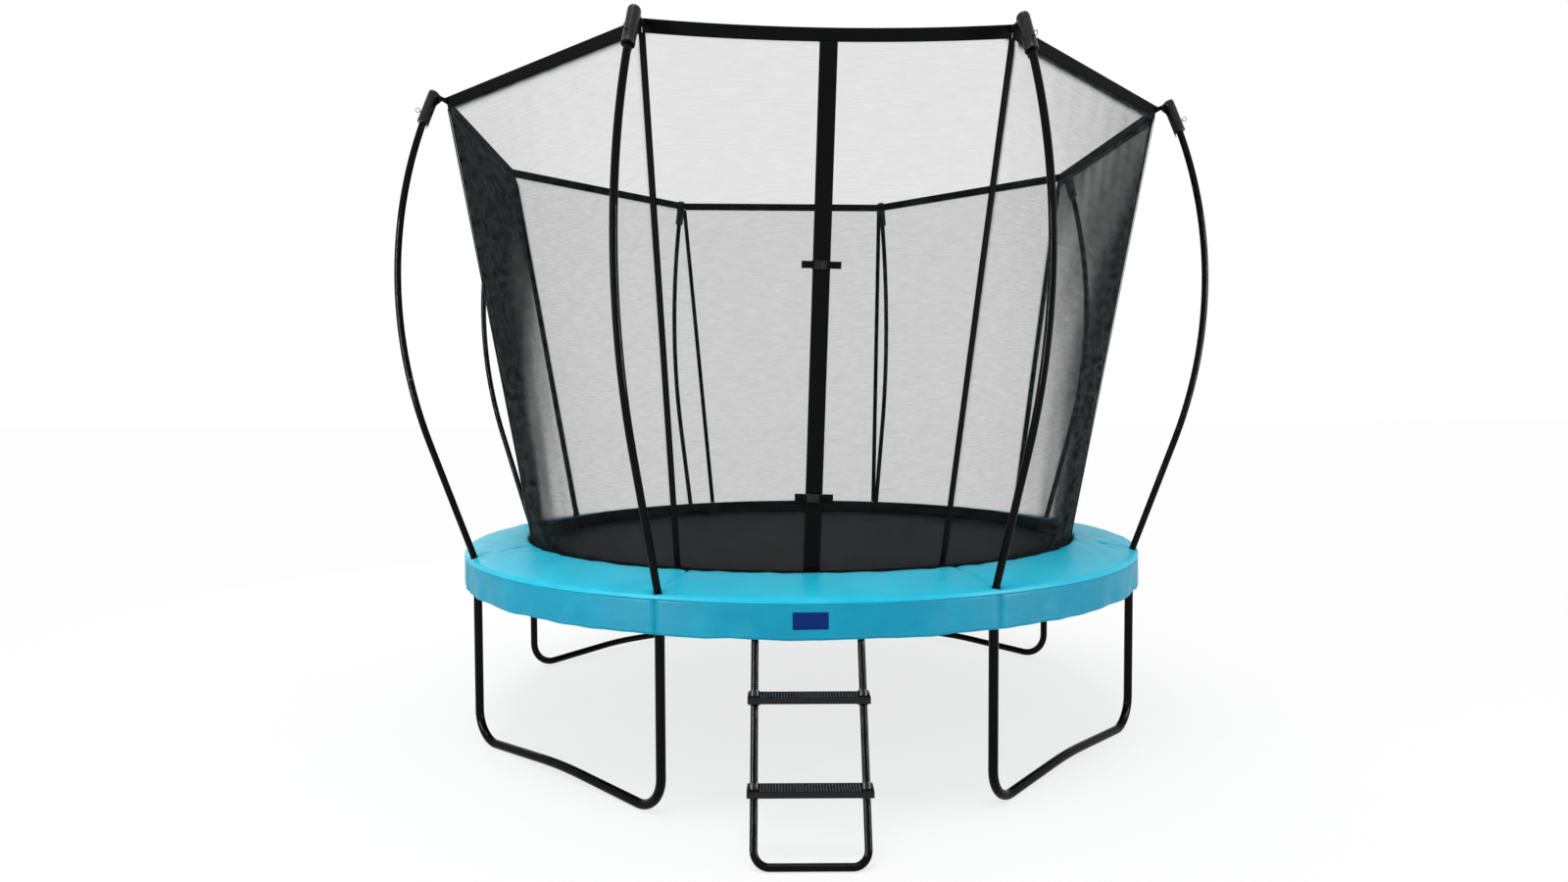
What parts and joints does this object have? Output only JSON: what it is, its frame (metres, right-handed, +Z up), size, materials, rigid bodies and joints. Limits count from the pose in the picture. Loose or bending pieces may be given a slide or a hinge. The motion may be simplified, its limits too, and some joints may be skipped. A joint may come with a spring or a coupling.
{
  "type": "trampoline",
  "caption": "Round garden trampoline with a see-through safety net on outward-curving poles, a padded spring cover, a zipped door and a hook-on ladder.",
  "frame": {"origin": "on the ground, under the centre of the frame ring", "axes": "+Z up; the door and the ladder face -Y; +X is to the right of someone who faces the door"},
  "size_m": [3.3878, 3.5487, 2.7248],
  "materials": {
    "steel_black": "black powder coat, semi-gloss",
    "zinc": "bright zinc plating",
    "plastic_black": "moulded black polypropylene",
    "net_black": "black polyethylene netting, see-through",
    "webbing_black": "black polypropylene webbing and hem cloth",
    "mat_black": "woven black polypropylene",
    "pvc_turquoise": "turquoise PVC-coated cloth",
    "pvc_skirt": "turquoise PVC-coated cloth",
    "foam": "closed-cell polyethylene foam",
    "patch_navy": "navy woven patch, plain"
  },
  "bodies": {
    "frame": {"rail_1": "steel_black", "rail_2": "steel_black", "rail_3": "steel_black", "rail_4": "steel_black", "rail_5": "steel_black", "rail_6": "steel_black", "rail_7": "steel_black", "rail_8": "steel_black", "pole_upper_1": "steel_black", "pole_upper_2": "steel_black", "pole_upper_3": "steel_black", "pole_upper_4": "steel_black", "pole_upper_5": "steel_black", "pole_upper_6": "steel_black", "pole_upper_7": "steel_black", "pole_upper_8": "steel_black", "leg_base_front_right": "steel_black", "leg_base_rear_right": "steel_black", "leg_base_rear_left": "steel_black", "leg_base_front_left": "steel_black", "rail_tees": "steel_black", "leg_tubes": "steel_black", "leg_screws": "zinc", "lower_poles": "steel_black", "pole_caps": "plastic_black", "cap_rivets": "zinc", "cap_rings": "zinc", "corner_webbing": "webbing_black", "net_panels": "net_black", "door_panel_left": "net_black", "door_panel_right": "net_black", "net_top_band": "webbing_black", "net_corner_tapes": "webbing_black", "net_hem": "webbing_black", "zip_tapes": "webbing_black", "zip_teeth": "plastic_black", "zip_flap": "webbing_black", "buckle_straps": "webbing_black", "buckle_sockets": "plastic_black", "plug_strap_upper": "webbing_black", "plug_strap_lower": "webbing_black", "springs": "zinc", "pad_covers": "pvc_turquoise", "pad_foams": "foam", "pad_skirts": "pvc_skirt", "door_skirt": "pvc_skirt", "skirt_patch": "patch_navy"},
    "mat": {"jump_mat": "mat_black", "mat_border": "webbing_black", "mat_rings": "zinc"},
    "ladder": {"ladder_rail_left": "steel_black", "ladder_rail_right": "steel_black", "ladder_base": "steel_black", "ladder_step_upper": "plastic_black", "ladder_step_lower": "plastic_black", "ladder_screws": "zinc"},
    "zip_slider": {"zip_slider": "zinc"},
    "upper_plug": {"buckle_plug_upper": "plastic_black"},
    "lower_plug": {"buckle_plug_lower": "plastic_black"}
  },
  "joints": [
    {"name": "mat_bounce", "type": "slide", "parent": "frame", "child": "mat", "axis": [0, 0, -1], "range_m": [0, 0.25], "stiffness_N_per_m": 4000, "springref_m": -0.03, "deforming": ["springs"]},
    {"name": "ladder_swing", "type": "hinge", "parent": "frame", "child": "ladder", "pos_m": [-0.07927, -1.5125, 0.755], "axis": [-0.9986, 0.0523, 0], "range_deg": [0, 30], "deforming": ["door_skirt", "skirt_patch"]},
    {"name": "zip_pull", "type": "slide", "parent": "frame", "child": "zip_slider", "axis": [0.025, -0.1178, 0.9927], "range_m": [0, 1.76], "deforming": ["zip_teeth"]},
    {"name": "upper_buckle", "type": "slide", "parent": "frame", "child": "upper_plug", "axis": [0.9996, -0.011, -0.0265], "range_m": [0, 0.03], "deforming": ["plug_strap_upper"]},
    {"name": "lower_buckle", "type": "slide", "parent": "frame", "child": "lower_plug", "axis": [0.9992, -0.0274, -0.0284], "range_m": [0, 0.03], "deforming": ["plug_strap_lower"]}
  ]
}
